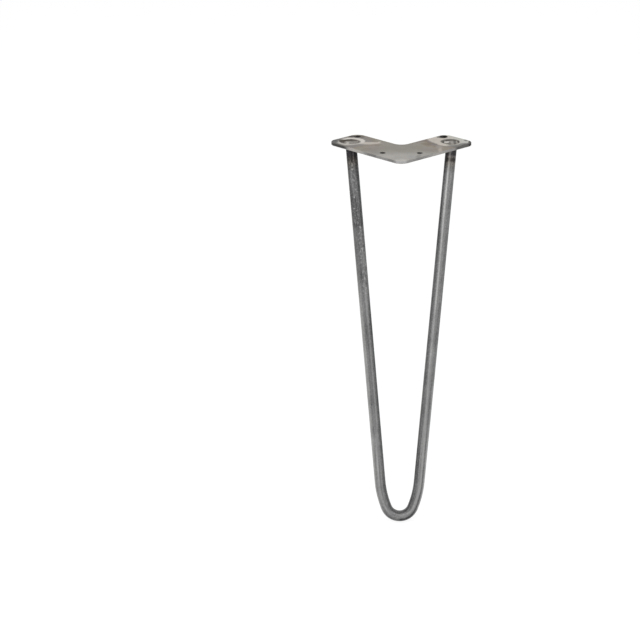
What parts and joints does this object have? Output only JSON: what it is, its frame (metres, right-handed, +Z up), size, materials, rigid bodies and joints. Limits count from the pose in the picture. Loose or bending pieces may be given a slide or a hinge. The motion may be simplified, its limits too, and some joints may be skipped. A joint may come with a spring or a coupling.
{
  "type": "hairpin table leg",
  "caption": "Raw steel hairpin table leg: a round bar bent into a narrow leaning U, plug welded to a flat corner plate with screw holes.",
  "frame": {"origin": "on the plate's top face, midway between the two front screw holes", "axes": "+Z up out of the top face towards the table, +X across the leg along both pairs of screw holes, +Y from the plate's outer corner towards its notch; the leg leans towards -Y as it goes down"},
  "size_m": [0.1514, 0.1357, 0.4064],
  "materials": {
    "bar_steel": "raw drawn bar with dark lengthwise streaks and specks",
    "plate_steel": "raw sheet, ground bright round the welds, with brown heat tint",
    "weld_steel": "weld metal ground level with the plate"
  },
  "bodies": {
    "root": {"hairpin_rod": "bar_steel", "mounting_plate": "plate_steel", "left_weld": "weld_steel", "right_weld": "weld_steel"}
  },
  "joints": []
}
